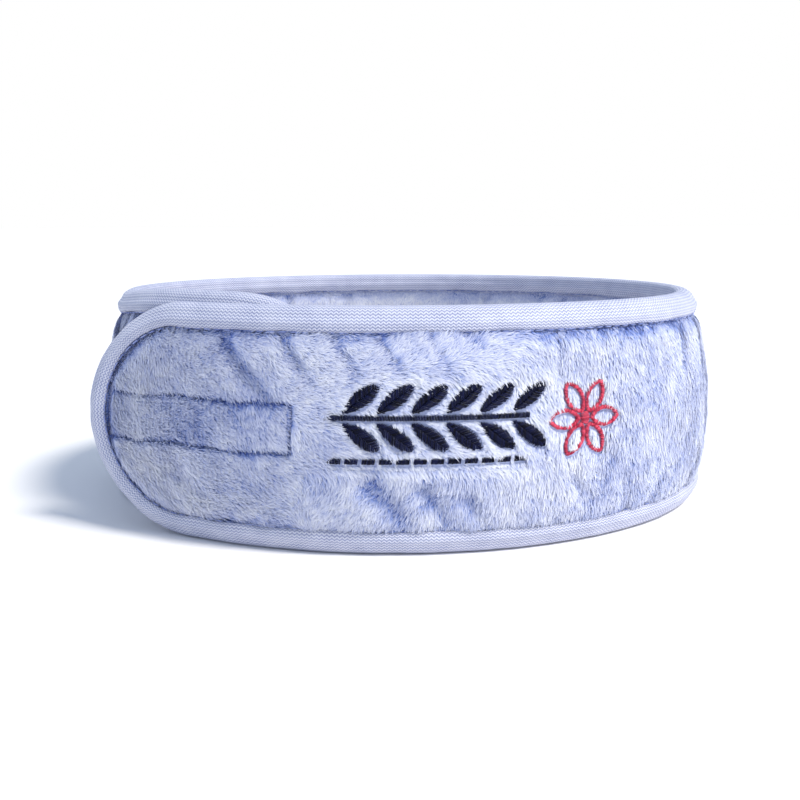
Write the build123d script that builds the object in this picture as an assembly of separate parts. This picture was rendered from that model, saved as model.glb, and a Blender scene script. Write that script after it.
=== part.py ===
# Spa headband: a padded plush band, bound all round with a knit tape, that wraps once round the head and
# closes with a hook-and-loop tape under its free end.
#
# Frame: millimetres, +Z up, the band standing on its lower edge as it does on a table. The origin is on the
# table under the middle of the ring. The free outer end, the tab, is at the front left.
#
# Seen from above the band is a four-centre spiral: tangent arcs that each lose a quarter of one layer's
# pitch, so that after a full turn the tail lies inside the tab with an even gap. Angles are measured from
# the front (-Y) and grow towards the right (+X). Each arc is one body, and the bodies hinge where arcs meet.

from build123d import *
from math import cos, degrees, radians, sin, sqrt
import os

# Driving dimensions of the band
band_height = 62.0
front_radius = 92.0  # from the arc's centre to the middle of the band's edge
middle_bow = 4.6  # how far the band bows outwards at half height
middle_thickness = 6.0
edge_thickness = 5.0
layer_gap = 0.7  # clear space between the tab and the tail it lies on

# Layers
padding_middle = 1.6
padding_edge = 0.8
tape_thickness = 0.9  # knit binding tape
tape_width = 6.0  # height of the folded tape on each face of the band
edge_rounding = 1.5

# Ends of the band and the lines where it flexes, in degrees
tab_tip = -56.0
tab_root = -13.0
front_end = 60.0
right_end = 120.0
back_end = 240.0
left_end = 300.0
tail_tip = 354.4
end_view = 12.0  # the rounded ends are cut square to the surface this far in from their tips

# Hook-and-loop closure
closure_height = 32.3  # middle of both tapes above the table
closure_width = 15.5
hook_start = -48.0
hook_stop = -14.6
loop_start = 306.0
loop_stop = 346.5
closure_sunk = 1.2  # the tapes press this deep into the pile
closure_proud = 0.2
seam_inset = 1.5  # from a tape's edge to its seam
thread = 0.5  # sewing thread, and how deep it beds into what it holds
binding_seam_inset = 5.3

# Embroidery: a leafy sprig in dark thread with a blossom in coral thread
sprig_start = -10.0
sprig_stop = 19.0
sprig_height = 35.3
leaf_pairs = 6
leaf_length = 10.8
leaf_width = 4.2
leaf_slant = 38.0
stem_width = 1.2
stem_gap = 0.15  # between one straight stitch of the stem and the next
dash_count = 12
dash_length = 2.8
dash_width = 1.0
dash_height = 24.6
blossom_angle = 28.4
blossom_height = 33.5
petal_count = 6
petal_length = 8.2
petal_width = 5.4
petal_line = 1.0  # width of the stitched line round each petal
petal_offset = 2.0
heart_radius = 1.6
stitch_sunk = 0.9
stitch_proud = 0.1
backing_thickness = 0.3
backing_margin = 3.0  # how far the backing runs past the embroidery, in degrees
backing_low = 21.5
backing_high = 46.0

# Derived
pitch = middle_thickness + layer_gap
step = pitch / 4
half_height = band_height / 2
ring_origin = Vector(-(1 + sqrt(3) / 2) * step, step, 0)  # the front arc's centre, with the ring centred
outer_line = (edge_thickness / 2, middle_bow + middle_thickness / 2)  # (at the edges, at half height)
inner_line = (-edge_thickness / 2, middle_bow - middle_thickness / 2)
padding_outer = (padding_edge / 2, middle_bow + padding_middle / 2)
padding_inner = (-padding_edge / 2, middle_bow - padding_middle / 2)
reach = 20.0  # further than any face lies from the edge line, for shapes that cut right through the band
spare = 1.0  # how far a cutting shape runs past the face that it opens
closure_low = closure_height - closure_width / 2
closure_high = closure_height + closure_width / 2


def outward(angle):
    """Unit vector from the ring's middle towards an angle."""
    return Vector(sin(radians(angle)), -cos(radians(angle)), 0)


def along(angle):
    """Unit vector along the band, towards growing angles."""
    return Vector(cos(radians(angle)), sin(radians(angle)), 0)


class Arc:
    """One body's stretch of the band: an arc about its own centre, with an optional rounded end."""

    def __init__(self, name, start, stop, centre, radius, tip=None):
        self.name, self.start, self.stop = name, start, stop
        self.centre, self.radius, self.tip = centre, radius, tip

    def sweep(self, section, start=None, stop=None):
        """Turns a section drawn as (offset from the edge line, height) about the arc's centre."""
        first = self.start if start is None else start
        last = self.stop if stop is None else stop
        turned = revolve(Plane.XZ * Pos(self.radius, 0) * section, Axis.Z, last - first)
        return Pos(self.centre) * Rot(0, 0, first - 90) * turned

    def outline(self, inset):
        """The band's outline drawn in by inset, as a solid that runs right through the band."""
        height = band_height - 2 * inset
        if self.tip is None:
            across = 2 * (self.radius + reach)
            return Pos(self.centre.X, self.centre.Y, half_height) * Box(across, across, height)
        side = 1 if self.tip == self.stop else -1
        view = self.tip - side * end_view
        tip_at = (self.radius + middle_bow) * sin(radians(end_view))
        round_at = side * (tip_at - half_height)
        shape = Circle(height / 2) + Pos(-side * band_height, 0) * Rectangle(2 * band_height, height)
        middle = self.centre + Vector(0, 0, half_height)
        plane = Plane(origin=middle, x_dir=along(view), z_dir=outward(view))
        return extrude(plane * Pos(round_at, 0) * shape, self.radius + reach)

    def surface(self, angle, height, depth=0.0):
        """A plane on the outer face, its normal outwards, sunk by depth. Local X runs along the band."""
        rise = height / half_height - 1
        bow = outer_line[1] - outer_line[0]
        offset = outer_line[0] + bow * (1 - rise * rise)
        point = self.centre + outward(angle) * (self.radius + offset) + Vector(0, 0, height)
        lean = 2 * bow * rise / half_height
        normal = (outward(angle) + Vector(0, 0, lean)).normalized()
        return Plane(origin=point - normal * depth, x_dir=along(angle), z_dir=normal)


def layer(inside, outside, low=0.0, high=band_height):
    """Section between two bowed lines, each given as (offset at the edges, offset at half height)."""
    bounds = [
        ThreePointArc((outside[0], 0), (outside[1], half_height), (outside[0], band_height)),
        Line((outside[0], band_height), (inside[0], band_height)),
        ThreePointArc((inside[0], band_height), (inside[1], half_height), (inside[0], 0)),
        Line((inside[0], 0), (outside[0], 0)),
    ]
    face = make_face(bounds)
    if low == 0.0 and high == band_height:
        return face
    return face & Pos(0, (low + high) / 2) * Rectangle(2 * reach, high - low)


def shifted(line, amount):
    """A bowed line moved outwards by amount."""
    return (line[0] + amount, line[1] + amount)


def rounded_section():
    """The whole band's section, its four corners rounded."""
    face = layer(inner_line, outer_line)
    return fillet(face.vertices(), edge_rounding)


def spiral():
    """The six bodies' arcs, from the tab's tip round to the tail's tip."""
    first = ring_origin
    second = first + outward(front_end) * step
    third = second + outward(right_end) * step
    fourth = third + outward(back_end) * step
    return [
        Arc("tab", tab_tip, tab_root, first, front_radius, tip=tab_tip),
        Arc("front", tab_root, front_end, first, front_radius),
        Arc("right", front_end, right_end, second, front_radius - step),
        Arc("back", right_end, back_end, third, front_radius - 2 * step),
        Arc("left", back_end, left_end, fourth, front_radius - 3 * step),
        Arc("tail", left_end, tail_tip, first, front_radius - pitch, tip=tail_tip),
    ]


def band_pieces(arc):
    """The pieces that every stretch of the band has."""
    whole = arc.sweep(rounded_section())
    inside = arc.outline(tape_width)
    thin = arc.sweep(layer(shifted(inner_line, tape_thickness), shifted(outer_line, -tape_thickness)))
    thin &= arc.outline(tape_thickness)
    plush = whole & inside
    stack = plush + thin
    skin_out = arc.sweep(layer(shifted(outer_line, -thread), outer_line))
    skin_in = arc.sweep(layer(inner_line, shifted(inner_line, thread)))
    seam_ring = arc.outline(binding_seam_inset) - arc.outline(binding_seam_inset + thread)
    seam = [skin & seam_ring for skin in (skin_out, skin_in)]
    binding = (whole & arc.outline(0)) - plush - thin
    for run in seam:
        binding -= run
    return {
        "outer_panel": stack & arc.sweep(layer(padding_outer, shifted(outer_line, spare))),
        "padding": stack & arc.sweep(layer(padding_inner, padding_outer)),
        "inner_panel": stack & arc.sweep(layer(shifted(inner_line, -spare), padding_inner)),
        "edge_binding": binding,
        "binding_seam": seam,
    }


def closure_tape(arc, face_line, side, start, stop):
    """A hook or loop tape pressed into one face of the band. side is 1 on the outer face, -1 on the inner."""
    lines = sorted([shifted(face_line, -side * closure_sunk), shifted(face_line, side * closure_proud)])
    return arc.sweep(layer(*lines, closure_low, closure_high), start, stop)


def seam_frame(arc, line, side, start, stop):
    """A closed run of stitches just inside a tape's edge, bedded flush into a face of the band."""
    lines = sorted([line, shifted(line, -side * thread)])
    turn = degrees(seam_inset / arc.radius)
    inner_turn = degrees((seam_inset + thread) / arc.radius)
    low = closure_low + seam_inset
    high = closure_high - seam_inset
    frame = arc.sweep(layer(*lines, low, high), start + turn, stop - turn)
    deep = [shifted(lines[0], -spare), shifted(lines[1], spare)]
    hole = arc.sweep(layer(*deep, low + thread, high - thread), start + inner_turn, stop - inner_turn)
    return frame - hole


def leaf(length, width):
    """A pointed leaf lying along X, its stalk at the origin."""
    tip = (length, 0)
    belly = length / 2
    upper = ThreePointArc((0, 0), (belly, width / 2), tip)
    lower = ThreePointArc(tip, (belly, -width / 2), (0, 0))
    return make_face([upper, lower])


def stitched(arc, angle, height, shape):
    """One satin-stitched shape, sunk into the pile at a place on the outer face."""
    plane = arc.surface(angle, height, stitch_sunk)
    return extrude(plane * shape, stitch_sunk + stitch_proud)


def sprig(arc):
    """The dark thread: a stem in short straight stitches, leaves in pairs, and a row of dashes below."""
    leaf_pitch = (sprig_stop - sprig_start) / leaf_pairs
    dash_pitch = (sprig_stop - sprig_start) / dash_count
    stem_length = radians(leaf_pitch) * (arc.radius + outer_line[1]) - stem_gap
    pieces = []
    for pair in range(leaf_pairs):
        angle = sprig_start + leaf_pitch * (pair + 0.5)
        pieces.append(stitched(arc, angle, sprig_height, Rectangle(stem_length, stem_width)))
        for way in (1, -1):
            shape = Pos(0, way * stem_width) * Rot(0, 0, way * leaf_slant) * leaf(leaf_length, leaf_width)
            pieces.append(stitched(arc, angle, sprig_height, shape))
    for dash in range(dash_count):
        angle = sprig_start + dash_pitch * (dash + 0.5)
        pieces.append(stitched(arc, angle, dash_height, SlotOverall(dash_length, dash_width)))
    return pieces


def blossom(arc):
    """The coral thread: open petals round a small heart."""
    inside = leaf(petal_length - 2 * petal_line, petal_width - 2 * petal_line)
    petal = leaf(petal_length, petal_width) - Pos(petal_line, 0) * inside
    turn = 360 / petal_count
    shapes = [Rot(0, 0, turn * n) * Pos(petal_offset, 0) * petal for n in range(petal_count)]
    shapes.append(Circle(heart_radius))
    return [stitched(arc, blossom_angle, blossom_height, shape) for shape in shapes]


def build():
    """Every node of the headband, by name."""
    nodes = {}
    arcs = {arc.name: arc for arc in spiral()}
    for name, arc in arcs.items():
        for piece, shape in band_pieces(arc).items():
            nodes[f"{piece}_{name}"] = shape

    tab, front, tail = arcs["tab"], arcs["front"], arcs["tail"]
    hook = closure_tape(tab, inner_line, -1, hook_start, hook_stop)
    loop = closure_tape(tail, outer_line, 1, loop_start, loop_stop)
    hook_face = shifted(inner_line, -closure_proud)
    loop_face = shifted(outer_line, closure_proud)
    hook_runs = [
        seam_frame(tab, outer_line, 1, hook_start, hook_stop),
        seam_frame(tab, hook_face, -1, hook_start, hook_stop),
    ]
    loop_runs = [
        seam_frame(tail, loop_face, 1, loop_start, loop_stop),
        seam_frame(tail, inner_line, -1, loop_start, loop_stop),
    ]
    nodes["hook_tape"] = hook - hook_runs[1]
    nodes["loop_tape"] = loop - loop_runs[0]
    nodes["hook_tape_seam"] = hook_runs
    nodes["loop_tape_seam"] = loop_runs
    nodes["inner_panel_tab"] -= hook
    nodes["outer_panel_tail"] -= loop
    nodes["outer_panel_tab"] -= hook_runs[0]
    nodes["inner_panel_tail"] -= loop_runs[1]

    sheet = layer(padding_outer, shifted(padding_outer, backing_thickness), backing_low, backing_high)
    backing = front.sweep(sheet, sprig_start - backing_margin, blossom_angle + 2 * backing_margin)
    dark = sprig(front)
    coral = blossom(front)
    nodes["embroidery_backing"] = backing
    nodes["embroidery_sprig"] = dark
    nodes["embroidery_blossom"] = coral
    panel = nodes["outer_panel_front"] - backing
    for stitch in dark + coral:
        panel -= stitch
    nodes["outer_panel_front"] = panel
    return nodes


def solids_of(shape):
    """The solids in a shape or in a list of shapes."""
    shapes = shape if isinstance(shape, list) else [shape]
    return [solid for one in shapes for solid in one.solids()]


os.makedirs("parts", exist_ok=True)
for node, shape in build().items():
    export_step(Compound(solids_of(shape)), f"parts/{node}.step")
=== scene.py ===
import bpy
import math
import numpy as np
from mathutils import Matrix, Vector


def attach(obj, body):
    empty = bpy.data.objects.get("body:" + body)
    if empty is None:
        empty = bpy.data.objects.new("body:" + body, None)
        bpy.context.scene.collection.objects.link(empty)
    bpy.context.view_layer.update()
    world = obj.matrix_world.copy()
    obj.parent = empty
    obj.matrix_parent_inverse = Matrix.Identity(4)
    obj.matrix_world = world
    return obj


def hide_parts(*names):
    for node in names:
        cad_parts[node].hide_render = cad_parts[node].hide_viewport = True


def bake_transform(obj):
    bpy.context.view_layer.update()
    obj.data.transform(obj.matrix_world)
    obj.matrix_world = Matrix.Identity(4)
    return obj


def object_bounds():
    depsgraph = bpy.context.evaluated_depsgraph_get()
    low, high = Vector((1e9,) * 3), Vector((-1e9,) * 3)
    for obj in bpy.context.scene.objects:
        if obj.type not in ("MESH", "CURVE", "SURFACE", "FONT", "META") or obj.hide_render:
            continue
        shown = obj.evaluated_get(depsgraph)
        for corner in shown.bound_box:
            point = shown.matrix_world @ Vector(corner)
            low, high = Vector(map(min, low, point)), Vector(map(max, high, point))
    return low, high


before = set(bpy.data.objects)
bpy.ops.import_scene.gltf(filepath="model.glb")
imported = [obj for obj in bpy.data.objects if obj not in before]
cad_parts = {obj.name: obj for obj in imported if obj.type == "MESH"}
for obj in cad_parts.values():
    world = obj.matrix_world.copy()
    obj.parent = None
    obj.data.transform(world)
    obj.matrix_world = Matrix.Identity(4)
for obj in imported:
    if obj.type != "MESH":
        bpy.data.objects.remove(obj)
cadLow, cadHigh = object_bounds()
print("frame loaded")

# The band is a strip that is wrapped round once and lapped over itself. Angles are in degrees from the
# front, growing to the right, and everything is laid out on the flat strip first: along it, and up it.
band = {
    "height": cadHigh.z,
    "radius": 0.092,        # front arc, to the middle of the band's edge
    "bow": 0.0046,          # how far it bows out at half height
    "thickMiddle": 0.006,
    "thickEdge": 0.005,
    "layerPitch": 0.0067,   # the ring closes in by this much in one turn
    "bends": (60, 120, 240, 300),
    "tabTip": -54.0,
    "tailTip": 354.4,
    "tapeWidth": 0.006,
    "flare": (-27.0, -54.0, 0.0046),  # the stiff end of the tab stands off the ring: from, to, how far
    "taper": 0.0030,                  # the sides and the back lean in by this much at the top
    "taperFrom": (42, 40),            # where the lean begins, and over how many degrees
    "taperTo": (312, 26),             # where it ends, and over how many degrees before that
    "proud": 0.0026,                  # the lapped tail stands this much higher than the tab
    "proudFrom": (284, 34),           # where it begins to rise, and over how many degrees
    "proudDrop": (330, 14, 0.7),      # where it comes down, over how many degrees, and by what share
}
halfUp = band["height"] / 2
perDegree = math.radians(1) * (band["radius"] + band["bow"])
stepIn = band["layerPitch"] / 4
firstCentre = np.array([-(1 + math.sqrt(0.75)) * stepIn, stepIn])

# One stretch of the strip for each joint: where it starts and stops, the two bodies and where it bends.
# "nodes" are the bodies whose CAD solids it takes the place of.
stretches = [
    {"name": "tab", "start": None, "stop": 44, "bodies": ("tab", "front"), "bend": (-20.0, -9.8),
     "nodes": ("tab", "front")},
    {"name": "front", "start": 44, "stop": 90, "bodies": ("front", "right"), "bend": (50, 70),
     "nodes": ("right",)},
    {"name": "right", "start": 90, "stop": 180, "bodies": ("right", "back"), "bend": (104, 136),
     "nodes": ("back",)},
    {"name": "back", "start": 180, "stop": 270, "bodies": ("back", "left"), "bend": (224, 256),
     "nodes": ("left",)},
    {"name": "tail", "start": 270, "stop": None, "bodies": ("left", "tail"), "bend": (286, 314),
     "nodes": ("tail",)},
]


def outward(angle):
    a = np.radians(angle)
    return np.stack([np.sin(a), -np.cos(a)], -1)


def bandPoint(angle, up, offset):
    # a point of the band, offset outwards from the line of its edge
    angle, up, offset = np.broadcast_arrays(*(np.asarray(v, float) for v in (angle, up, offset)))
    begin, end, most = band["flare"]
    offset = offset + most * np.clip((angle - begin) / (end - begin), 0, 1.2) ** 2
    begin, over = band["taperFrom"]
    end, before = band["taperTo"]
    beside = smooth((angle - begin) / over) * smooth((end - angle) / before)
    offset = offset - band["taper"] * beside * up / band["height"]
    begin, over = band["proudFrom"]
    top, down, share = band["proudDrop"]
    up = up + band["proud"] * smooth((angle - begin) / over) * (1 - share * smooth((angle - top) / down))
    passed = np.stack([angle > b for b in band["bends"]], -1).astype(float)
    centre = firstCentre + passed @ (stepIn * outward(np.array(band["bends"], float)))
    radius = band["radius"] - stepIn * passed.sum(-1) + offset
    return np.concatenate([centre + outward(angle) * radius[..., None], up[..., None]], -1)


def facePoint(angle, up, side, lift):
    # a point on the outer face (side 1) or the inner face (side -1), lifted off it
    full = 1 - (np.asarray(up) / halfUp - 1) ** 2
    half = (band["thickEdge"] + (band["thickMiddle"] - band["thickEdge"]) * full) / 2
    return bandPoint(angle, up, band["bow"] * full + side * (half + lift))


def faceAxes(angle, up, side):
    # along the band, up the face and out of it
    angle, up = np.broadcast_arrays(np.asarray(angle, float), np.asarray(up, float))
    out = outward(angle)
    lean = 2 * band["bow"] * (up / halfUp - 1) / halfUp
    normal = np.concatenate([out, lean[..., None]], -1) * side
    normal /= np.linalg.norm(normal, axis=-1, keepdims=True)
    along = np.stack([-out[..., 1], out[..., 0], np.zeros(angle.shape)], -1)
    rise = np.cross(normal, along) * side
    return along, rise, normal


def endAngle(up, side, inset):
    # where the strip ends at each height, drawn in by inset: both ends are full rounds
    tip = band["tabTip"] if side < 0 else band["tailTip"]
    middle = tip - side * halfUp / perDegree
    reach = np.sqrt(np.maximum((halfUp - inset) ** 2 - (up - halfUp) ** 2, 0))
    return middle + side * reach / perDegree


noiseTable = np.random.default_rng(7).uniform(-1, 1, (256, 256))


def noise(x, y, seed=0):
    # smooth noise from -1 to 1 on a lattice of unit cells
    xf, yf = np.floor(x), np.floor(y)
    i, j = xf.astype(int) + 37 * seed, yf.astype(int) + 91 * seed
    u, v = x - xf, y - yf
    u, v = u * u * (3 - 2 * u), v * v * (3 - 2 * v)
    corner = [[noiseTable[(i + a) % 256, (j + b) % 256] for b in (0, 1)] for a in (0, 1)]
    low = corner[0][0] * (1 - u) + corner[1][0] * u
    high = corner[0][1] * (1 - u) + corner[1][1] * u
    return low * (1 - v) + high * v


def smooth(t):
    t = np.clip(t, 0, 1)
    return t * t * (3 - 2 * t)


def deselect():
    for o in bpy.context.selected_objects:
        o.select_set(False)


def gridObject(name, columns, rows, place):
    # a flat grid, its points then put where place(u, v) says; u and v run from 0 to 1
    deselect()
    bpy.ops.mesh.primitive_grid_add(x_subdivisions=columns, y_subdivisions=rows, size=1)
    piece = bpy.context.object
    piece.name = piece.data.name = name
    count = len(piece.data.vertices)
    flat = np.zeros(count * 3, np.float32)
    piece.data.vertices.foreach_get("co", flat)
    flat = flat.reshape(-1, 3) + 0.5
    points, cloth = place(flat[:, 0].astype(float), flat[:, 1].astype(float))
    piece.data.vertices.foreach_set("co", points.astype(np.float32).ravel())
    corners = np.zeros(len(piece.data.loops), np.int32)
    piece.data.loops.foreach_get("vertex_index", corners)
    piece.data.uv_layers.active.data.foreach_set("uv", cloth[corners].astype(np.float32).ravel())
    bpy.ops.object.shade_smooth()
    return piece


def joined(name, parts):
    deselect()
    for part in parts:
        part.select_set(True)
    bpy.context.view_layer.objects.active = parts[0]
    if len(parts) > 1:
        bpy.ops.object.join()
    piece = bpy.context.object
    piece.name = piece.data.name = name
    return piece


def bendWith(piece):
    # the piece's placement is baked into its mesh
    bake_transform(piece)
    return piece


def standFor(word, stretch):
    # the piece takes the place of the CAD solids of its kind that lie in its stretch
    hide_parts(*(f"{word}_{body}" for body in stretch["nodes"]))


def isEnded(stretch):
    # whether the stretch holds one of the strip's round ends
    return stretch["start"] is None or stretch["stop"] is None


def limits(stretch, up, inset):
    # the angles between which a stretch runs at each height
    start = endAngle(up, -1, inset) if stretch["start"] is None else stretch["start"] + 0 * up
    stop = endAngle(up, 1, inset) if stretch["stop"] is None else stretch["stop"] + 0 * up
    return start, stop


# materials

def newMaterial(name, **values):
    mat = bpy.data.materials.new(name)
    mat.use_nodes = True
    shader = mat.node_tree.nodes["Principled BSDF"]
    for socket, value in values.items():
        shader.inputs[socket.replace("_", " ")].default_value = value
    return mat, mat.node_tree, shader


def addNode(tree, kind, **values):
    node = tree.nodes.new(kind)
    for key, value in values.items():
        if key in node.inputs:
            node.inputs[key].default_value = value
        else:
            setattr(node, key, value)
    return node


def ramp(tree, source, stops):
    # a colour ramp of (position, colour) stops fed by source
    node = tree.nodes.new("ShaderNodeValToRGB")
    bar = node.color_ramp
    while len(bar.elements) < len(stops):
        bar.elements.new(0.5)
    for element, (position, colour) in zip(bar.elements, stops):
        element.position = position
        element.color = (*colour, 1)
    tree.links.new(source, node.inputs["Fac"])
    return node.outputs["Color"]


def mathNode(tree, operation, first, second=0.0, third=0.0):
    node = tree.nodes.new("ShaderNodeMath")
    node.operation = operation
    for slot, value in zip(node.inputs, (first, second, third)):
        if isinstance(value, bpy.types.NodeSocket):
            tree.links.new(value, slot)
        else:
            slot.default_value = value
    return node.outputs[0]


# fibre colours from root to tip: the darker root colours are painted shade deep in the pile, and "deep" is
# painted shade for the creases and the seam groove
plushLook = {
    "deep": (0.060, 0.105, 0.380),
    "root": (0.190, 0.265, 0.580),
    "middle": (0.480, 0.530, 0.760),
    "tip": (0.720, 0.745, 0.880),
    "tipEnd": (0.900, 0.910, 0.965),
    "sheen": 0.3,
}


def plushMaterial():
    # "tone" runs from 0 at the root of a fibre to 1 at its tip, a little more or less on each fibre; the
    # darker colours towards the root are painted shade deep in the pile
    mat, tree, shader = newMaterial("plushPile", Roughness=0.78, Sheen_Weight=plushLook["sheen"])
    shader.inputs["Sheen Roughness"].default_value = 0.45
    shader.inputs["Sheen Tint"].default_value = (0.86, 0.89, 1.0, 1)
    shader.inputs["Specular IOR Level"].default_value = 0.25
    tone = addNode(tree, "ShaderNodeAttribute", attribute_name="tone")
    place = addNode(tree, "ShaderNodeTexCoord")
    speckle = addNode(tree, "ShaderNodeTexNoise", Scale=900.0, Detail=2.0)
    tree.links.new(place.outputs["Object"], speckle.inputs["Vector"])
    spread = mathNode(tree, "MULTIPLY_ADD", speckle.outputs[0], 0.14, -0.07)
    value = mathNode(tree, "ADD", tone.outputs["Fac"], spread)
    look = [plushLook[k] for k in ("deep", "root", "middle", "tip", "tipEnd")]
    stops = list(zip((0.0, 0.22, 0.48, 0.76, 1.0), look))
    tree.links.new(ramp(tree, value, stops), shader.inputs["Base Color"])
    return mat


def knitMaterial():
    # rows of small zigzags, as a warp-knit tape shows, laid out on the tape's own length and width in metres
    knit = {"row": 0.00080, "stitch": 0.00130, "swing": 0.62}
    mat, tree, shader = newMaterial("knitTape", Roughness=0.55, Sheen_Weight=0.3)
    shader.inputs["Sheen Roughness"].default_value = 0.4
    shader.inputs["Sheen Tint"].default_value = (0.9, 0.92, 1.0, 1)
    shader.inputs["Specular IOR Level"].default_value = 0.35
    cloth = addNode(tree, "ShaderNodeUVMap")
    parts = addNode(tree, "ShaderNodeSeparateXYZ")
    tree.links.new(cloth.outputs[0], parts.inputs[0])
    across = mathNode(tree, "DIVIDE", parts.outputs[0], knit["stitch"])
    zigzag = mathNode(tree, "PINGPONG", across, 0.5)
    row = mathNode(tree, "DIVIDE", parts.outputs[1], knit["row"])
    row = mathNode(tree, "MULTIPLY_ADD", zigzag, 2 * knit["swing"], row)
    ridge = mathNode(tree, "PINGPONG", row, 0.5)
    ridge = mathNode(tree, "MULTIPLY", ridge, 2.0)
    loop = mathNode(tree, "MULTIPLY", mathNode(tree, "PINGPONG", across, 0.25), 0.5)
    level = mathNode(tree, "MULTIPLY_ADD", ridge, 0.8, loop)
    place = addNode(tree, "ShaderNodeTexCoord")
    cloud = addNode(tree, "ShaderNodeTexNoise", Scale=160.0, Detail=3.0)
    tree.links.new(place.outputs["Object"], cloud.inputs["Vector"])
    level = mathNode(tree, "MULTIPLY_ADD", cloud.outputs[0], 0.35, level)
    # darker between the stitches as painted shade, lighter on their tops as painted highlight
    stops = [
        (0.0, (0.05, 0.07, 0.20)),   # between the stitches
        (0.3, (0.27, 0.30, 0.49)),
        (0.65, (0.52, 0.54, 0.70)),
        (1.0, (0.74, 0.75, 0.84)),   # on top of them
    ]
    tree.links.new(ramp(tree, level, stops), shader.inputs["Base Color"])
    bump = addNode(tree, "ShaderNodeBump", Strength=0.7, Distance=0.0003)
    tree.links.new(level, bump.inputs["Height"])
    tree.links.new(bump.outputs[0], shader.inputs["Normal"])
    return mat


def threadMaterial(name, dark, light, roughness, sheen, gloss=0.5):
    # spun thread: fine twist lines along Object coordinates and a little difference between strands
    mat, tree, shader = newMaterial(name, Roughness=roughness, Sheen_Weight=sheen)
    shader.inputs["Specular IOR Level"].default_value = gloss
    tone = addNode(tree, "ShaderNodeAttribute", attribute_name="tone")
    place = addNode(tree, "ShaderNodeTexCoord")
    twist = addNode(tree, "ShaderNodeTexNoise", Scale=2600.0, Detail=2.0)
    tree.links.new(place.outputs["Object"], twist.inputs["Vector"])
    strand = mathNode(tree, "SUBTRACT", tone.outputs["Fac"], 0.25)
    value = mathNode(tree, "MULTIPLY_ADD", twist.outputs[0], 0.5, strand)
    tree.links.new(ramp(tree, value, [(0.0, dark), (1.0, light)]), shader.inputs["Base Color"])
    bump = addNode(tree, "ShaderNodeBump", Strength=0.5, Distance=0.00008)
    tree.links.new(twist.outputs[0], bump.inputs["Height"])
    tree.links.new(bump.outputs[0], shader.inputs["Normal"])
    return mat


plush = plushMaterial()
knitTape = knitMaterial()
navyThread = threadMaterial("navyThread", (0.0003, 0.0005, 0.005), (0.007, 0.010, 0.050), 0.34, 0.0, 0.15)
coralThread = threadMaterial("coralThread", (0.36, 0.008, 0.040), (0.86, 0.10, 0.17), 0.42, 0.0, 0.25)
seamThread = threadMaterial("seamThread", (0.16, 0.21, 0.50), (0.34, 0.40, 0.70), 0.6, 0.1)
hookNylon = threadMaterial("hookNylon", (0.62, 0.66, 0.80), (0.86, 0.88, 0.95), 0.35, 0.0)
loopNylon = threadMaterial("loopNylon", (0.50, 0.55, 0.78), (0.80, 0.83, 0.94), 0.6, 0.4)
wadding = threadMaterial("wadding", (0.75, 0.75, 0.74), (0.93, 0.93, 0.92), 0.9, 0.3)
print("materials ready")


# how the plush lies

closure = {
    "up": 0.0323, "width": 0.0155, "seamIn": 0.0015, "hook": (-48.0, -14.6), "loop": (306.0, 346.5),
    "seamBefore": 0.9,  # the stitches across the tape are this many degrees before its end
    "wander": 0.0003,
    "groove": 0.0008,
}
mark = {"sprig": (-10.0, 19.0), "sprigUp": 0.0353, "dashUp": 0.0246, "blossom": (28.4, 0.0335)}

# creases that the wrap and the seams pull into the front: from (angle, up) to (angle, up), width and depth
frontCreases = [
    (-27.0, 0.0525, -18.5, 0.0385, 0.0021, 0.0016),
    (-17.0, 0.0535, -13.0, 0.0440, 0.0017, 0.0012),
    (-9.5, 0.0535, -6.0, 0.0450, 0.0016, 0.0010),
    (-3.0, 0.0530, 0.5, 0.0455, 0.0014, 0.0009),
    (4.5, 0.0530, 8.0, 0.0435, 0.0016, 0.0009),
    (9.5, 0.0540, 12.5, 0.0500, 0.0014, 0.0007),
    (24.5, 0.0540, 24.0, 0.0450, 0.0013, 0.0007),
    (-4.0, 0.0200, 1.0, 0.0120, 0.0030, 0.0013),
    (4.5, 0.0185, 7.0, 0.0105, 0.0022, 0.0010),
    (10.5, 0.0160, 13.0, 0.0095, 0.0022, 0.0010),
    (27.0, 0.0190, 29.5, 0.0130, 0.0022, 0.0008),
    (-36.0, 0.0200, -31.0, 0.0130, 0.0026, 0.0008),
]
smallCreases = []
chance = np.random.default_rng(21)
for angle in np.arange(38.0, 352.0, 7.5):  # and smaller ones all round, from either seam
    fromTop = chance.random() < 0.5
    start = 0.0540 if fromTop else 0.0080
    run = chance.uniform(0.006, 0.013) * (-1 if fromTop else 1)
    begin = angle + chance.uniform(-2, 2)
    finish = begin + chance.uniform(-3, 4)
    smallCreases.append((begin, start, finish, start + run, 0.002, chance.uniform(0.0005, 0.001)))


def lineDistance(x, y, x0, y0, x1, y1):
    # distance to a line's stretch, and how far along it
    dx, dy = x1 - x0, y1 - y0
    t = np.clip(((x - x0) * dx + (y - y0) * dy) / (dx * dx + dy * dy), 0, 1)
    return np.hypot(x - x0 - t * dx, y - y0 - t * dy), t


def seamGroove(angle, up):
    # 1 on the closure's line of stitches, on the outer face of the tab, falling to 0 beside it
    low = closure["up"] - closure["width"] / 2 + closure["seamIn"]
    high = closure["up"] + closure["width"] / 2 - closure["seamIn"]
    right = (closure["hook"][1] - closure["seamBefore"]) * perDegree
    s = angle * perDegree
    wander = closure["wander"] * noise(s / 0.006, s * 0, 3)
    nearest = np.minimum(np.abs(up - low - wander), np.abs(up - high - wander))
    nearest = np.where(s < right, nearest, 1.0)
    end = np.where((up > low) & (up < high), np.abs(s - right), 1.0)
    return np.exp(-(np.minimum(nearest, end) / closure["groove"]) ** 2)


def insideClosure(angle, up):
    middle = np.abs(up - closure["up"]) < closure["width"] / 2 - closure["seamIn"]
    return middle & (angle < closure["hook"][1] - closure["seamBefore"])


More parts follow.
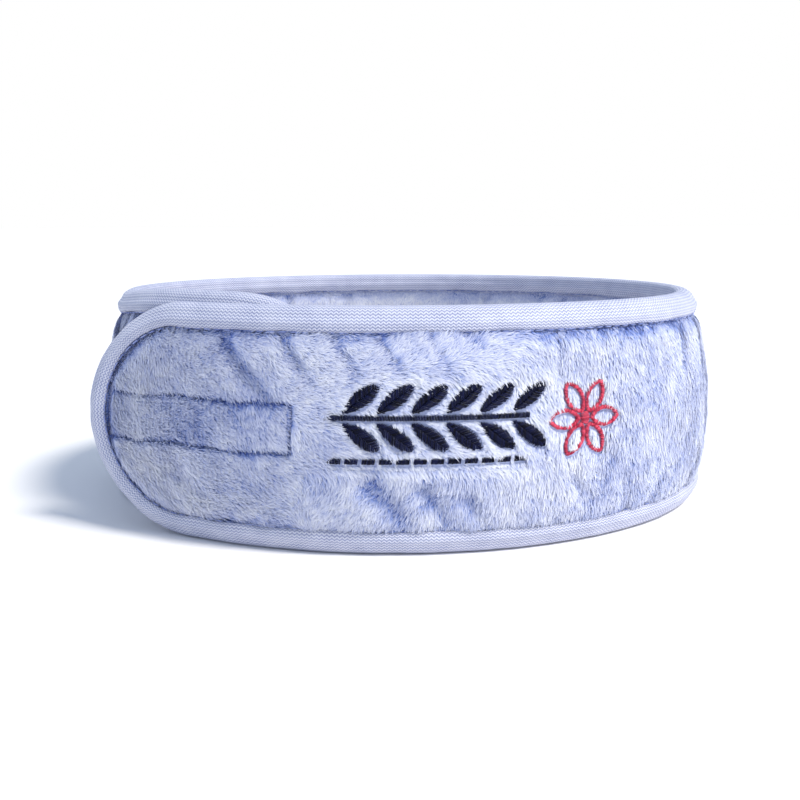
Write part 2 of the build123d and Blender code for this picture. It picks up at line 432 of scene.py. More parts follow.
def pressed(angle, up, side):
    # 1 where the tab and the tail lie on each other, inside the other's rounded end
    if side > 0:
        return smooth(((angle - 360 - endAngle(up, -1, 0.001)) * perDegree - 0.006) / 0.006)
    return smooth((endAngle(up, 1, 0.001) - 360 - angle) * perDegree / 0.004)


def edgeRoom(angle, up, inset):
    # how far a place is inside the line that runs inset within the strip's edge, and the way to that line
    s = angle * perDegree
    ends = band["tabTip"] * perDegree + halfUp, band["tailTip"] * perDegree - halfUp
    ds, du = s - np.clip(s, *ends), up - halfUp
    away = np.hypot(ds, du) + 1e-9
    return halfUp - inset - away, ds / away, du / away


relief = {
    "sunk": -0.0020,       # of the base cloth beside the tape, from the plain face
    "swell": 0.0013,       # how much of that it gains over "swellOver"
    "swellOver": 0.0040,
    "waves": 0.00030,
    "ripples": 0.00016,
    "crease": 1.25,        # on each crease's depth, halved where the crease runs out
    "stitched": 0.0009,
    "tapeBehind": 0.0003,
    "pressed": -0.0008,    # at most, where the two layers lie on each other
    "lowest": -0.0021,
}


def plushLift(angle, up, side):
    # how far the base cloth stands off the plain face: pillowed, sunk at the tape, creased, stitched down
    s = angle * perDegree
    room = edgeRoom(angle, up, band["tapeWidth"])[0]
    lift = relief["sunk"] + relief["swell"] * smooth(room / relief["swellOver"])
    lift = lift + relief["waves"] * noise(s / 0.011, up / 0.013, 1)
    lift = lift + relief["ripples"] * noise(s / 0.004, up / 0.005, 2)
    for x0, y0, x1, y1, width, depth in (frontCreases if side > 0 else []) + smallCreases:
        away, t = lineDistance(s, up, x0 * perDegree, y0, x1 * perDegree, y1)
        lift = lift - relief["crease"] * depth * (1 - 0.5 * t) * np.exp(-(away / width) ** 2)
    if side > 0:
        lift = lift - relief["stitched"] * seamGroove(angle, up)
        lift = lift - relief["tapeBehind"] * insideClosure(angle, up)
    hold = pressed(angle, up, side)
    held = lift * (1 - hold) + hold * np.minimum(lift, relief["pressed"])
    return np.maximum(held, relief["lowest"])


# embroidery, worked out on the flat strip

sprig = {
    "pairs": 6, "leafLength": 0.0108, "leafWidth": 0.0042, "slant": 38.0, "stem": 0.0012,
    "dashes": 12, "dashLength": 0.0028, "dashWidth": 0.0015, "pitch": 0.00036, "thread": 0.00017,
    "dashPitch": 0.00028,
}
flower = {
    "petals": 6, "petalLength": 0.0082, "petalWidth": 0.0054, "petalFrom": 0.0020, "line": 0.0010,
    "heart": 0.0016, "pitch": 0.00034, "thread": 0.00016,
}


def leafAxes():
    # (stalk along, stalk up, direction) of each leaf
    leaves = []
    first, last = (a * perDegree for a in mark["sprig"])
    for pair in range(sprig["pairs"]):
        s = first + (last - first) * (pair + 0.5) / sprig["pairs"]
        for way in (1, -1):
            leaves.append((s, mark["sprigUp"] + way * sprig["stem"], math.radians(way * sprig["slant"])))
    return leaves


def lens(x, length, width):
    # half the width of a pointed leaf at x along it
    t = np.clip(x / length, 0, 1)
    return width / 2 * (4 * t * (1 - t)) ** 0.8


def leafStrands(rng):
    strands = []
    for s, up, turn in leafAxes():
        c, d = math.cos(turn), math.sin(turn)
        for x in np.arange(0.0004, sprig["leafLength"] - 0.0003, sprig["pitch"]):
            for way in (1, -1):  # two banks of stitches that meet on the leaf's vein
                half = lens(x, sprig["leafLength"], sprig["leafWidth"]) + rng.uniform(-0.00022, 0.00030)
                if half < 0.0003:
                    continue
                tilt = 0.45 * half
                a = (x - tilt * 0.6, -way * 0.0002)
                b = (x + tilt, way * half)
                strands.append([(s + c * p - d * q, up + d * p + c * q) for p, q in (a, b)])
    return strands


def rowStrands(start, stop, up, width, pitch, rng):
    # short stitches straight across a run along the band
    count = max(2, int((stop - start) / pitch))
    rows = np.linspace(start, stop, count)
    return [[(s - 0.0001, up - width / 2 + rng.uniform(-1, 1) * 0.00008),
             (s + 0.0001, up + width / 2 + rng.uniform(-1, 1) * 0.00008)] for s in rows]


def petalOutline(angle, samples=44):
    # a pointed petal's outline round the blossom's heart, as points on the flat strip
    centre = (mark["blossom"][0] * perDegree, mark["blossom"][1])
    t = np.linspace(0, 1, samples)
    x = flower["petalFrom"] + flower["petalLength"] * np.concatenate([t, t[::-1]])
    y = lens(flower["petalLength"] * t, flower["petalLength"], flower["petalWidth"] - flower["line"])
    y = np.concatenate([y, -y[::-1]])
    c, d = math.cos(angle), math.sin(angle)
    return np.stack([centre[0] + c * x - d * y, centre[1] + d * x + c * y], -1)


def pathRun(path):
    # how far along a path each of its points is
    return np.concatenate([[0], np.cumsum(np.hypot(*np.diff(path, axis=0).T))])


def columnStrands(path, width, pitch, rng):
    # satin stitches across a path
    run = pathRun(path)
    where = np.arange(0, run[-1], pitch)
    x, y = (np.interp(where, run, path[:, k]) for k in (0, 1))
    dx, dy = np.gradient(x), np.gradient(y)
    long = np.hypot(dx, dy) + 1e-12
    nx, ny = -dy / long, dx / long
    half = width / 2 * (1 + rng.uniform(-0.30, 0.45, len(x)))
    slant = 0.0002
    overX, overY = nx * half + dx / long * slant, ny * half + dy / long * slant
    return [[(x[i] - overX[i], y[i] - overY[i]), (x[i] + overX[i], y[i] + overY[i])] for i in range(len(x))]


def petalTurns():
    return [2 * math.pi * n / flower["petals"] for n in range(flower["petals"])]


def blossomStrands(rng):
    strands = []
    for turn in petalTurns():
        strands += columnStrands(petalOutline(turn), flower["line"], flower["pitch"], rng)
    s, up = mark["blossom"][0] * perDegree, mark["blossom"][1]
    for y in np.arange(-flower["heart"], flower["heart"], flower["pitch"]):
        half = math.sqrt(max(flower["heart"] ** 2 - y * y, 1e-9))
        strands.append([(s - half, up + y), (s + half, up + y)])
    return strands


def onMark(s, up, margin):
    # whether a place on the flat strip is under the embroidery, or within a margin of it
    covered = np.zeros(np.shape(s), bool)
    for s0, up0, turn in leafAxes():
        c, d = math.cos(turn), math.sin(turn)
        x, y = (s - s0) * c + (up - up0) * d, -(s - s0) * d + (up - up0) * c
        inside = (x > -margin) & (x < sprig["leafLength"] + margin)
        covered |= inside & (np.abs(y) < lens(x, sprig["leafLength"], sprig["leafWidth"]) + margin)
    first, last = (a * perDegree for a in mark["sprig"])
    covered |= (s > first) & (s < last) & (np.abs(up - mark["sprigUp"]) < sprig["stem"] / 2 + margin)
    span = (last - first) / sprig["dashes"]
    beside = np.abs((s - first) % span - span / 2)
    dash = beside < sprig["dashLength"] / 2 + margin
    dash &= np.abs(up - mark["dashUp"]) < sprig["dashWidth"] / 2 + margin
    covered |= dash & (s > first) & (s < last)
    for turn in petalTurns():
        line = petalOutline(turn, 16)
        for (x0, y0), (x1, y1) in zip(line[:-1], line[1:]):
            near = lineDistance(s, up, x0, y0, x1 + 1e-9, y1)[0]
            covered |= near < flower["line"] / 2 + margin
    fromHeart = np.hypot(s - mark["blossom"][0] * perDegree, up - mark["blossom"][1])
    return covered | (fromHeart < flower["heart"] + margin)


def threads(name, strands, radius, lift, arch, side=1, stations=6, sides=5, seed=1):
    # each strand is a closed thread, laid on a face of the band and arched off it in the middle
    rng = np.random.default_rng(seed)
    ends = np.array(strands, float)  # strand, end, (along, up)
    t = np.linspace(0, 1, stations)
    flat = ends[:, None, 0] + (ends[:, None, 1] - ends[:, None, 0]) * t[None, :, None]
    angle, up = flat[..., 0] / perDegree, flat[..., 1]
    rise = lift + arch * (1 - (2 * t - 1) ** 4)[None] + rng.uniform(-1, 1, (len(ends), 1)) * radius * 0.25
    centre = facePoint(angle, up, side, rise)
    normal = faceAxes(angle, up, side)[2]
    run = np.gradient(centre, axis=1)
    run /= np.linalg.norm(run, axis=-1, keepdims=True)
    across = np.cross(run, normal)
    across /= np.linalg.norm(across, axis=-1, keepdims=True)
    out = np.cross(across, run)
    thin = radius * np.where((t == 0) | (t == 1), 0.25, 1.0) * np.ones((len(ends), 1))
    turn = 2 * np.pi * np.arange(sides) / sides
    turn = turn[None, None, :, None]
    ring = across[:, :, None] * np.cos(turn) + out[:, :, None] * np.sin(turn)
    points = centre[:, :, None] + ring * thin[:, :, None, None]
    count = len(ends)
    index = np.arange(count * stations * sides).reshape(count, stations, sides)
    a, b = index[:, :-1], index[:, 1:]
    quads = np.stack([a, b, np.roll(b, -1, 2), np.roll(a, -1, 2)], -1).reshape(-1, 4)
    mesh = bpy.data.meshes.new(name)
    caps = [index[:, 0].tolist(), index[:, -1, ::-1].tolist()]
    mesh.from_pydata(points.reshape(-1, 3).tolist(), [], quads.tolist() + caps[0] + caps[1])
    tone = np.repeat(rng.uniform(0, 1, count), stations * sides)
    mesh.attributes.new("tone", "FLOAT", "POINT").data.foreach_set("value", tone.astype(np.float32))
    mesh.shade_smooth()
    piece = bpy.data.objects.new(name, mesh)
    bpy.context.scene.collection.objects.link(piece)
    return piece


# plush panels

# the base cloth's tone: darker on the outer face, as painted shade between the locks; lighter on the inner
# face, as painted light
panel = {"cell": 0.0008, "inset": 0.0044, "baseTone": {1: 0.44, -1: 0.62}}


def plushPanel(stretch, side):
    # the base cloth of one stretch, on one face
    rows = int((2 * halfUp - 2 * panel["inset"]) / panel["cell"])
    start, stop = limits(stretch, np.array(halfUp), panel["inset"])
    columns = int((stop - start) * perDegree / panel["cell"])

    def place(u, v):
        if side < 0:
            u = 1 - u
        even = panel["inset"] + v * (2 * halfUp - 2 * panel["inset"])
        rounded = halfUp - (halfUp - panel["inset"]) * np.cos(np.pi * v)
        atEnd = 0.0
        if stretch["start"] is None:
            atEnd = smooth(1 - u * 2.5)
        if stretch["stop"] is None:
            atEnd = smooth(1 - (1 - u) * 2.5)
        up = even * (1 - atEnd) + rounded * atEnd
        first, last = limits(stretch, up, panel["inset"])
        angle = first + (last - first) * u
        return facePoint(angle, up, side, plushLift(angle, up, side)), np.stack([angle * perDegree, up], -1)

    word = "outer" if side > 0 else "inner"
    piece = gridObject(f"plush_{word}_{stretch['name']}", columns, rows, place)
    base = piece.data.attributes.new("tone", "FLOAT", "POINT")
    base.data.foreach_set("value", np.full(len(piece.data.vertices), panel["baseTone"][side], np.float32))
    return piece


comb = {"tab": -0.35, "down": 1.22, "raised": 1.0, "wide": 0.55, "tight": 0.5}


def flow(s, up, side):
    # the way the pile is combed, as an angle on the face: along the tab, down below and beyond the mark
    swirl = comb["wide"] * noise(s / 0.017, up / 0.015, 5) + comb["tight"] * noise(s / 0.006, up / 0.006, 6)
    if side < 0:
        return -0.5 * np.pi + swirl
    lower = smooth((0.024 - up) / 0.006) * smooth((s + 0.030) / 0.012)  # below the mark
    beyond = smooth((s - 0.016) / 0.030) * smooth((0.50 - s) / 0.02)    # past it, as far as the tail
    upper = smooth((up - 0.046) / 0.005) * smooth((s + 0.012) / 0.012) * (1 - beyond)
    way = comb["tab"] - np.maximum(lower, beyond) * comb["down"] + upper * comb["raised"]
    return way + swirl * (1 - 0.5 * beyond)


pile = {
    "outer": {"tab": 22, "front": 16, "right": 11, "back": 11, "tail": 9},   # fibre locks to the square mm
    "inner": {"tab": 7, "front": 7, "right": 9, "back": 9, "tail": 6},
    "long": (0.0016, 0.0030),
    "wide": (0.00028, 0.00054),
    "lean": (54, 74),
    "clump": 0.0013,
    "drawn": 0.55,             # how far a lock leans to the middle of its clump
    "calmLean": 11,            # degrees more, where the pile lies flat
    "heel": (0.10, 0.50),      # where the blade starts, as shares of its reach and of its height
    "shorter": {"closure": 0.15, "pressed": 0.3, "fringe": 0.3, "mark": 0.42},
    # the heel's darker tone is painted shade deep in the pile
    "tones": (0.43, 0.93),     # at the heel and at the tip
    # how much lighter or darker, the patch's length and height, and which of the noises
    "clouds": ((0.12, 0.009, 0.009, 11), (0.09, 0.0028, 0.0022, 12), (0.07, 0.024, 0.02, 13)),
    "tufts": (0.14, 0.0017, 0.0012, 18),
    "fibre": 0.06,
}
# how much lighter, or darker, the pile is in each place: on the inner face and towards the tab's end it is
# painted light, round the mark a painted highlight, in the seam groove and the creases painted shade
toneAt = {
    "outer": -0.08, "inner": 0.20, "closure": -0.07, "seam": -0.40, "mark": 0.16, "tabEndPaintedLight": 0.10,
    "crease": -0.38,
}


def pilePiece(stretch, side, seed):
    # thousands of small locks of fibre, each a thin blade, drawn together in clumps
    word = "outer" if side > 0 else "inner"
    rng = np.random.default_rng(seed)
    low, high = band["tapeWidth"] - 0.0004, 2 * halfUp - band["tapeWidth"] + 0.0004
    startAt, stopAt = limits(stretch, np.array(halfUp), band["tapeWidth"] - 0.0004)
    area = (stopAt - startAt) * perDegree * (high - low) * 1e6
    count = int(area * pile[word][stretch["name"]])
    angle = rng.uniform(startAt, stopAt, count)
    up = rng.uniform(low, high, count)
    first, last = limits(stretch, up, band["tapeWidth"] - 0.0004)
    keep = (angle >= first) & (angle <= last)
    if side > 0:
        keep &= ~((rng.random(count) < 0.85) & (seamGroove(angle, up) > 0.6))
        if stretch["name"] == "tab":
            keep &= ~onMark(angle * perDegree, up, 0.0004)
    hold = pressed(angle, up, side)
    keep &= rng.random(count) > 0.2 * hold
    angle, up, hold = angle[keep], up[keep], hold[keep]
    s, count = angle * perDegree, int(keep.sum())
    lift = plushLift(angle, up, side)
    along, rise, normal = faceAxes(angle, up, side)
    root = facePoint(angle, up, side, lift - 0.0001 + 0.0003 * hold)

    combed = flow(s, up, side) + rng.normal(0, 0.24, count)
    cell = pile["clump"]
    gx, gy = np.floor(s / cell), np.floor(up / (cell * 0.8))
    cx = (gx + 0.5 + 0.35 * noise(gx + 0.5, gy + 0.5, 8)) * cell - s
    cy = (gy + 0.5 + 0.35 * noise(gx + 0.5, gy + 0.5, 9)) * cell * 0.8 - up
    shorter = pile["shorter"]
    short = 1 - shorter["closure"] * insideClosure(angle, up) * (side > 0) - shorter["pressed"] * hold
    room, outS, outUp = edgeRoom(angle, up, band["tapeWidth"])
    fringe = smooth((0.0016 - room) / 0.0012) * (1 - hold)  # beside the tape the locks spill over its edge
    short = short - shorter["fringe"] * fringe
    if side > 0 and stretch["name"] == "tab":
        short = short - shorter["mark"] * onMark(s, up, 0.0012)
    long = rng.uniform(*pile["long"], count) * short
    calm = 1.0  # past the mark, and towards the tab's end, the pile lies flatter
    if side > 0:
        calm = np.maximum(smooth((s - 0.055) / 0.040), 0.8 * smooth((-0.050 - s) / 0.030))
    lean = rng.uniform(*pile["lean"], count) + 12 * hold
    lean = lean + 8 * noise(s / 0.003, up / 0.003, 10) * (1 - 0.6 * calm)
    lean = np.radians(np.minimum(lean + pile["calmLean"] * calm, 84))
    way = along * np.cos(combed)[:, None] + rise * np.sin(combed)[:, None]
    reach = way * (long * np.sin(lean))[:, None]
    reach = reach + along * (pile["drawn"] * cx)[:, None] + rise * (pile["drawn"] * cy)[:, None]
    spill = fringe * (0.0011 + 0.0008 * noise(s / 0.0035, up / 0.0035, 19))
    overEdge = along * outS[:, None] + rise * outUp[:, None]
    reach = reach * (1 - 0.5 * fringe[:, None]) + overEdge * spill[:, None]
    tall = (long * np.cos(lean))[:, None] * (1 - 0.5 * hold[:, None]) + 0.0007 * fringe[:, None]
    tip = root + reach + normal * tall
    heel = root + reach * pile["heel"][0] + normal * tall * pile["heel"][1]
    beside = np.cross(reach, normal)
    beside *= (rng.uniform(*pile["wide"], count) / 2 / np.linalg.norm(beside, axis=1))[:, None]
    points = np.stack([heel - beside, heel + beside, tip], 1).reshape(-1, 3)

    faces = np.arange(3 * count, dtype=np.int32).reshape(-1, 3)
    mesh = bpy.data.meshes.new(f"pile_{word}_{stretch['name']}")
    mesh.vertices.add(len(points))
    mesh.vertices.foreach_set("co", points.astype(np.float32).ravel())
    mesh.loops.add(faces.size)
    mesh.loops.foreach_set("vertex_index", faces.ravel())
    mesh.polygons.add(len(faces))
    mesh.polygons.foreach_set("loop_start", np.arange(0, faces.size, 3, dtype=np.int32))
    mesh.update(calc_edges=True)

    patch = sum(much * noise(s / wide, up / deep, table) for much, wide, deep, table in pile["clouds"])
    much, wide, deep, table = pile["tufts"]
    patch = patch + much * noise(s / wide, up / deep, table) * (1 - 0.5 * calm)
    # on the inner face this lightens the pile as painted light
    patch = patch + toneAt[word]
    if side > 0:
        patch = patch + 0.02 * calm
        # the darkening along the seam groove is painted shade
        patch = patch + toneAt["closure"] * insideClosure(angle, up) + toneAt["seam"] * seamGroove(angle, up)
    if side > 0 and stretch["name"] == "tab":
        # lighter round the mark: painted highlight on the flattened pile
        patch = patch + toneAt["mark"] * onMark(s, up, 0.0022)
        # lighter towards the tab's end: painted light over the shade its locks get there
        patch = patch + toneAt["tabEndPaintedLight"] * smooth((-0.035 - s) / 0.030)
    # darker where the base cloth sinks into creases: painted shade
    sunkShade = np.clip((relief["pressed"] - lift) / 0.0014, 0, 1)
    patch = patch + toneAt["crease"] * sunkShade * (1 - hold) + rng.normal(0, pile["fibre"], count)
    atHeel, atTip = pile["tones"]
    tone = np.stack([atHeel + patch, atHeel + patch, atTip + 0.8 * patch], 1).ravel()
    mesh.attributes.new("tone", "FLOAT", "POINT").data.foreach_set("value", tone.astype(np.float32))
    mesh.shade_smooth()
    blade = np.cross(points[0::3] - points[2::3], points[1::3] - points[2::3])
    blade /= np.linalg.norm(blade, axis=1, keepdims=True)
    soft = normal * 0.65 + blade * 0.40
    soft /= np.linalg.norm(soft, axis=1, keepdims=True)
    mesh.normals_split_custom_set_from_vertices(np.repeat(soft, 3, 0).tolist())
    piece = bpy.data.objects.new(mesh.name, mesh)
    bpy.context.scene.collection.objects.link(piece)
    return piece


for number, stretch in enumerate(stretches):
    for side, word in ((1, "outer"), (-1, "inner")):
        cloth = plushPanel(stretch, side)
        cloth.data.materials.append(plush)
        standFor(f"{word}_panel", stretch)
        locks = pilePiece(stretch, side, 100 + 10 * number + side)
        locks.data.materials.append(plush)
        for piece in (cloth, locks):
            bendWith(piece)
print("plush panels ready")


# binding tape

binding = {
    "step": 0.0008, "rows": 40, "leg": 0.0063, "roll": 0.0021, "proud": 0.00010, "swell": 0.20,
    "lapped": (300, -3),   # past these angles the tail's outer leg and the tab's inner leg lie on each other
    "flatter": 0.00018,
}


def tapeProfile(rows):
    # across the tape, from inside the outer leg, over the band's edge, to inside the inner leg: how far in
    # from the band's edge, how far out from its middle (1 is the face), and how far across the cloth
    leg, roll = binding["leg"], binding["roll"]
    turn = np.linspace(0, np.pi, 17)
    inset = [leg - 0.0012, leg - 0.0002, leg, leg - 0.0003, *np.linspace(leg - 0.0012, roll + 0.0006, 6)]
    out = [0.50, 0.56, 0.70, 0.90, *(1 + binding["swell"] * np.sin(np.linspace(0.25, np.pi - 0.15, 6)))]
    half = list(roll - roll * np.sin(turn))
    side = list(np.cos(turn))
    inset = np.array(inset + half + inset[::-1])
    out = np.array(out + side + [-o for o in out[::-1]])
    run = np.concatenate([[0], np.cumsum(np.hypot(np.diff(inset), np.diff(out) * band["thickEdge"] / 2))])
    v = np.linspace(0, 1, rows)
    return np.interp(v * run[-1], run, inset), np.interp(v * run[-1], run, out), v * run[-1]


def tapePath(stretch, upper):
    # along the band's edge: places on the flat strip and the way in from the edge, in metres
    first, last = (a * perDegree for a in limits(stretch, np.array(halfUp), 0.0))
    if isEnded(stretch):
        side = -1 if stretch["start"] is None else 1
        tip = first if side < 0 else last
        cut = last if side < 0 else first
        middle = tip - side * halfUp
        turn = np.linspace(0, np.pi, int(np.pi * halfUp / binding["step"]))
        straight = np.linspace(cut, middle, int(abs(cut - middle) / binding["step"]))[:-1]
        flatS = np.concatenate([straight, middle + side * halfUp * np.sin(turn), straight[::-1]])
        height = np.concatenate([0 * straight, halfUp - halfUp * np.cos(turn), 0 * straight + 2 * halfUp])
        inS = np.concatenate([0 * straight, -side * np.sin(turn), 0 * straight])
        inUp = np.concatenate([0 * straight + 1, np.cos(turn), 0 * straight - 1])
        line = np.stack([flatS, height, inS, inUp], -1)
        return line if side < 0 else line[::-1]
    line = np.linspace(first, last, int((last - first) / binding["step"]))
    line = line if upper else line[::-1]
    height = (2 * halfUp if upper else 0.0) + 0 * line
    return np.stack([line, height, 0 * line, 0 * line + (-1 if upper else 1)], -1)


def tapePiece(stretch, upper):
    line = tapePath(stretch, upper)
    rows = binding["rows"]
    inset, out, across = tapeProfile(rows)
    run = pathRun(line[:, :2])

    def place(u, v):
        i, j = np.rint(u * (len(line) - 1)).astype(int), np.rint(v * (rows - 1)).astype(int)
        s, up, inS, inUp = line[i].T
        flatS = s + inS * inset[j]
        flatUp = np.clip(up + inUp * inset[j], 0, 2 * halfUp)
        shirr = 0.00010 * noise(flatS / 0.0030, flatUp / 0.004, 14)
        shirr = shirr + 0.00014 * noise(flatS / 0.009, up / 0.02, 15)
        edge = 0.00025 * noise(flatS / 0.007, up / 0.02, 16) * smooth((inset[j] - 0.0045) / 0.0015)
        full = 1 - (flatUp / halfUp - 1) ** 2
        half = (band["thickEdge"] + (band["thickMiddle"] - band["thickEdge"]) * full) / 2 + binding["proud"]
        onTail = smooth((flatS / perDegree - binding["lapped"][0]) / 4) * (out[j] > 0)
        inTab = smooth((binding["lapped"][1] - flatS / perDegree) / 4) * (out[j] < 0)
        hold = np.maximum(onTail, inTab)
        half = half - binding["flatter"] * hold
        pucker = (1 - hold) * np.sign(out[j]) * (shirr + np.abs(shirr) * 0.2)
        offset = band["bow"] * full + out[j] * half + pucker
        points = bandPoint((flatS + inS * edge) / perDegree, flatUp + inUp * edge, offset)
        return points, np.stack([run[i], across[j]], -1)

    return gridObject("tape", len(line) - 1, rows - 1, place)


for stretch in stretches:
    uppers = (True,) if isEnded(stretch) else (True, False)
    tape = joined(f"binding_{stretch['name']}", [tapePiece(stretch, upper) for upper in uppers])
    tape.data.materials.append(knitTape)
    standFor("edge_binding", stretch)
    bendWith(tape)
print("binding ready")


# seams

stitch = {"long": 0.0024, "gap": 0.0007, "thread": 0.00022}


def stitchRun(points):
    # stitches end to end along a path on the flat strip
    path = np.array(points)
    run = pathRun(path)
    starts = np.arange(0, run[-1] - stitch["long"], stitch["long"] + stitch["gap"])
    pairs = [(begin, begin + stitch["long"]) for begin in starts]
    return [[tuple(np.interp(a, run, path[:, k]) for k in (0, 1)) for a in pair] for pair in pairs]


def ditchStitches(stretch, side):
    # the seam that holds the tape, down in the ditch beside it
    strands = []
    inset = binding["leg"] + 0.0001
    for upper in (True,) if isEnded(stretch) else (True, False):
        line = tapePath(stretch, upper)
        strands += stitchRun(line[:, :2] + line[:, 2:] * inset)
    return threads("stitches", strands, stitch["thread"], -0.0010, 0.0003, side=side, sides=4, seed=5)


for stretch in stretches:
    seam = joined(f"binding_seam_{stretch['name']}", [ditchStitches(stretch, side) for side in (1, -1)])
    seam.data.name = seam.name
    seam.data.materials.append(seamThread)
    standFor("binding_seam", stretch)
    bendWith(seam)
print("seams ready")


# padding between the panels

for stretch in stretches:
    def place(u, v, stretch=stretch):
        up = 0.003 + v * (2 * halfUp - 0.006)
        first, last = limits(stretch, up, 0.004)
        angle = first + (last - first) * u
        full = 1 - (up / halfUp - 1) ** 2
        ripple = 0.0001 * noise(angle * perDegree / 0.004, up / 0.004, 17)
        return bandPoint(angle, up, band["bow"] * full + ripple), np.stack([angle * perDegree, up], -1)

    start, stop = limits(stretch, np.array(halfUp), 0.004)
    pad = gridObject(f"padding_sheet_{stretch['name']}", int((stop - start) * perDegree / 0.003), 18, place)
    wall = pad.modifiers.new("wall", "SOLIDIFY")
    wall.thickness, wall.offset = 0.0006, 0.0
    bpy.ops.object.modifier_apply(modifier="wall")
    pad.data.materials.append(wadding)
    standFor("padding", stretch)
    bendWith(pad)
print("padding ready")


# closure

def closureTape(name, side, span, lift):
    # a woven tape sewn to one face
    def place(u, v):
        angle = span[0] + (span[1] - span[0]) * (1 - u if side < 0 else u)
        up = closure["up"] + (v - 0.5) * closure["width"]
        sag = lift - 0.0002 * smooth((np.abs(v - 0.5) - 0.46) / 0.04)
        return facePoint(angle, up, side, sag), np.stack([angle * perDegree, up], -1)
    piece = gridObject(name, 90, 22, place)
    wall = piece.modifiers.new("wall", "SOLIDIFY")
    wall.thickness, wall.offset = 0.0006, -1.0
    bpy.ops.object.modifier_apply(modifier="wall")
    return piece


def hookRows(seed=31):
    # small hooks in rows along the tape, every other row turned round
    rng = np.random.default_rng(seed)
    hooks = []
    low, high = (a * perDegree for a in closure["hook"])
    margin, spacing = 0.0022, 0.0013
    reach = closure["width"] / 2 - margin
    for row, up in enumerate(np.arange(-reach, reach, spacing)):
        way = 1 if row % 2 else -1
        for s in np.arange(low + margin, high - margin, spacing):
            at = s + (row % 2) * spacing / 2 + rng.uniform(-1, 1) * 0.00005
            hooks.append([(at, closure["up"] + up), (at + way * 0.00045, closure["up"] + up)])
    return hooks


def loopTufts(seed=32):
    rng = np.random.default_rng(seed)
    low, high = (a * perDegree for a in closure["loop"])
    count = 2600
    s = rng.uniform(low + 0.001, high - 0.001, count)
    up = closure["up"] + rng.uniform(-0.5, 0.5, count) * (closure["width"] - 0.003)
    turn = rng.uniform(0, 2 * np.pi, count)
    long = rng.uniform(0.0007, 0.0013, count)
    return [[(a, b), (a + c * math.cos(t), b + c * math.sin(t))] for a, b, c, t in zip(s, up, long, turn)]


hookTape = closureTape("hook_tape_woven", -1, closure["hook"], -0.00018)
hookTape.data.attributes.new("tone", "FLOAT", "POINT")
hooks = threads("hooks", hookRows(), 0.00011, -0.0002, 0.00048, side=-1, stations=5, sides=4)
hookTape = joined("hook_tape_woven", [hookTape, hooks])
hookTape.data.materials.append(hookNylon)
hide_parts("hook_tape")
bendWith(hookTape)

loopTape = closureTape("loop_tape_brushed", 1, closure["loop"], -0.0003)
loopTape.data.attributes.new("tone", "FLOAT", "POINT")
loops = threads("loops", loopTufts(), 0.00007, -0.0003, 0.0003, stations=4, sides=3)
loopTape = joined("loop_tape_brushed", [loopTape, loops])
loopTape.data.materials.append(loopNylon)
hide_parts("loop_tape")
bendWith(loopTape)


def closureSeam(name, span, lifts):
    # the rectangle of stitches that holds a closure tape, seen on both faces of the band
    inset = closure["seamIn"]
    low, high = closure["up"] - closure["width"] / 2 + inset, closure["up"] + closure["width"] / 2 - inset
    left, right = span[0] * perDegree + inset, span[1] * perDegree - inset
    corners = [(left, low), (right, low), (right, high), (left, high), (left, low)]
    runs = [threads("run", stitchRun(corners), stitch["thread"], lift, 0.0003, side=side, seed=9)
            for side, lift in lifts]
    seam = joined(name, runs)
    seam.data.materials.append(seamThread)
    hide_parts(name.replace("_stitches", ""))
    bendWith(seam)


# each seam with its lift on the face that has no tape and on the one that has
closureSeam("hook_tape_seam_stitches", closure["hook"], ((1, -0.0024), (-1, -0.0003)))
closureSeam("loop_tape_seam_stitches", closure["loop"], ((1, -0.0004), (-1, -0.0022)))
print("closure ready")


# embroidery pieces

rng = np.random.default_rng(41)
firstS, lastS = (a * perDegree for a in mark["sprig"])
dark = leafStrands(rng)
dark += rowStrands(firstS, lastS, mark["sprigUp"], sprig["stem"] * 1.2, sprig["pitch"], rng)
spanS = (lastS - firstS) / sprig["dashes"]
for number in range(sprig["dashes"]):
    middle = firstS + spanS * (number + 0.5)
    half = sprig["dashLength"] / 2
    row = (mark["dashUp"], sprig["dashWidth"], sprig["dashPitch"])
    dark += rowStrands(middle - half, middle + half, *row, rng)
sprigPiece = threads("sprig_stitches", dark, sprig["thread"], -0.0004, 0.0006, seed=2)
sprigPiece.data.materials.append(navyThread)
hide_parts("embroidery_sprig")
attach(sprigPiece, "front")

blossomPiece = threads("blossom_stitches", blossomStrands(rng), flower["thread"], -0.0005, 0.0006, seed=3)
blossomPiece.data.materials.append(coralThread)
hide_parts("embroidery_blossom")
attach(blossomPiece, "front")

sheet = {"from": -13, "over": 52, "low": 0.0215, "tall": 0.0245, "sunk": -0.0030}


def backingPlace(u, v):
    angle, up = sheet["from"] + sheet["over"] * u, sheet["low"] + sheet["tall"] * v
    return facePoint(angle, up, 1, sheet["sunk"]), np.stack([u, v], -1)


backing = gridObject("backing_sheet", 60, 14, backingPlace)
backing.data.materials.append(wadding)
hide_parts("embroidery_backing")
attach(backing, "front")
print("embroidery ready")


# floor, light and camera

studio = {"floor": 60.0, "world": 0.72, "sun": 2.9, "sunFrom": (0.55, -0.34, 0.88), "sunSize": 15}
fill = {"place": (1.0, -0.36, 0.34), "target": (0.03, 0, 0.03), "size": 0.9, "power": 4.5}
deselect()
bpy.ops.mesh.primitive_plane_add(size=studio["floor"], location=(0, 0, 0))
floor = bpy.context.object
floor.name = "floor"
paper, _, paperShader = newMaterial("palePaper", Roughness=0.9)
paperShader.inputs["Base Color"].default_value = (0.94, 0.92, 0.90, 1)
floor.data.materials.append(paper)

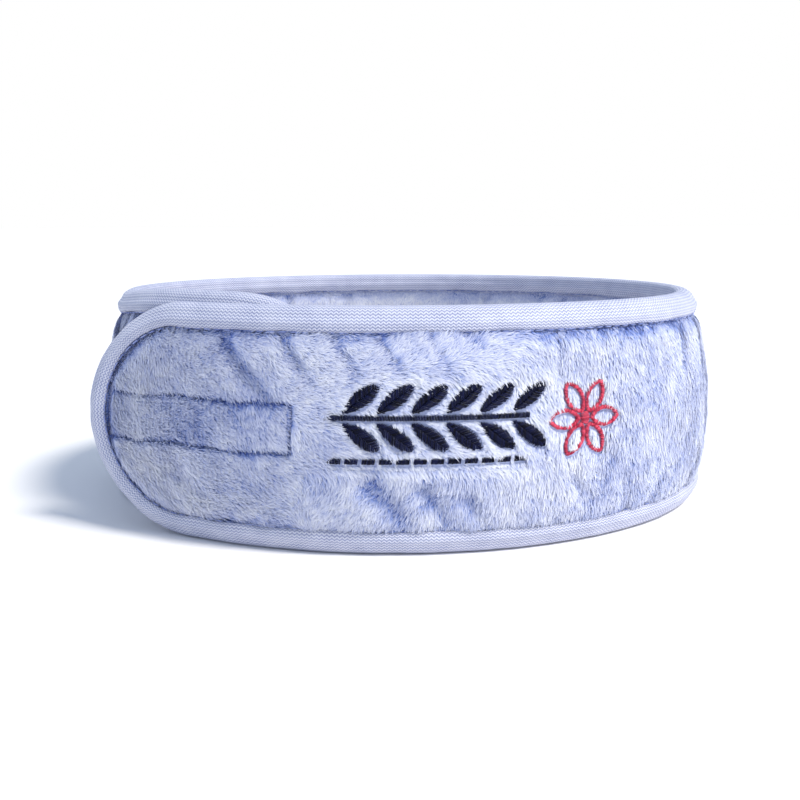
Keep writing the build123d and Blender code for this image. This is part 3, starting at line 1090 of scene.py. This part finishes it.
world = bpy.data.worlds.new("studio")
world.use_nodes = True
sky = world.node_tree.nodes["Background"]
sky.inputs["Color"].default_value = (0.655, 0.785, 1.0, 1)
sky.inputs["Strength"].default_value = studio["world"]
white = addNode(world.node_tree, "ShaderNodeBackground", Color=(1, 1, 1, 1), Strength=1.0)
mix = world.node_tree.nodes.new("ShaderNodeMixShader")
path = world.node_tree.nodes.new("ShaderNodeLightPath")
world.node_tree.links.new(path.outputs["Is Camera Ray"], mix.inputs[0])
world.node_tree.links.new(sky.outputs[0], mix.inputs[1])
world.node_tree.links.new(white.outputs[0], mix.inputs[2])
world.node_tree.links.new(mix.outputs[0], world.node_tree.nodes["World Output"].inputs[0])
bpy.context.scene.world = world


deselect()
bpy.ops.object.light_add(type="SUN", location=(0.5, 0.1, 0.9))
sun = bpy.context.object
sun.name = "keyLight"
sun.data.energy, sun.data.angle = studio["sun"], math.radians(studio["sunSize"])
sun.data.color = (1.0, 0.96, 0.90)
sun.rotation_euler = Vector(studio["sunFrom"]).to_track_quat("Z", "Y").to_euler()
deselect()
bpy.ops.object.light_add(type="AREA", location=fill["place"])
rightFill = bpy.context.object
rightFill.name = "rightFill"
rightFill.data.size, rightFill.data.energy = fill["size"], fill["power"]
rightFill.data.color = (1.0, 0.98, 0.96)
aim = Vector(fill["target"]) - Vector(fill["place"])
rightFill.rotation_euler = aim.to_track_quat("-Z", "Y").to_euler()

# metres, radians, and the lens as 800ths of the frame's width
view = {"back": 0.3725, "eye": 0.0813, "focal": 1155, "down": 0.1506, "turn": -0.0032, "roll": -0.0028}
camera = bpy.data.objects.new("camera", bpy.data.cameras.new("camera"))
bpy.context.scene.collection.objects.link(camera)
camera.data.sensor_width = 36
camera.data.lens = view["focal"] / 800 * 36
camera.data.clip_start = 0.01
camera.matrix_world = (
    Matrix.Translation((firstCentre[0], firstCentre[1] - view["back"], view["eye"]))
    @ Matrix.Rotation(view["turn"], 4, "Z")
    @ Matrix.Rotation(math.pi / 2 - view["down"], 4, "X")
    @ Matrix.Rotation(view["roll"], 4, "Z")
)
bpy.context.scene.camera = camera
bpy.context.scene.view_settings.view_transform = "Standard"
print("studio ready")
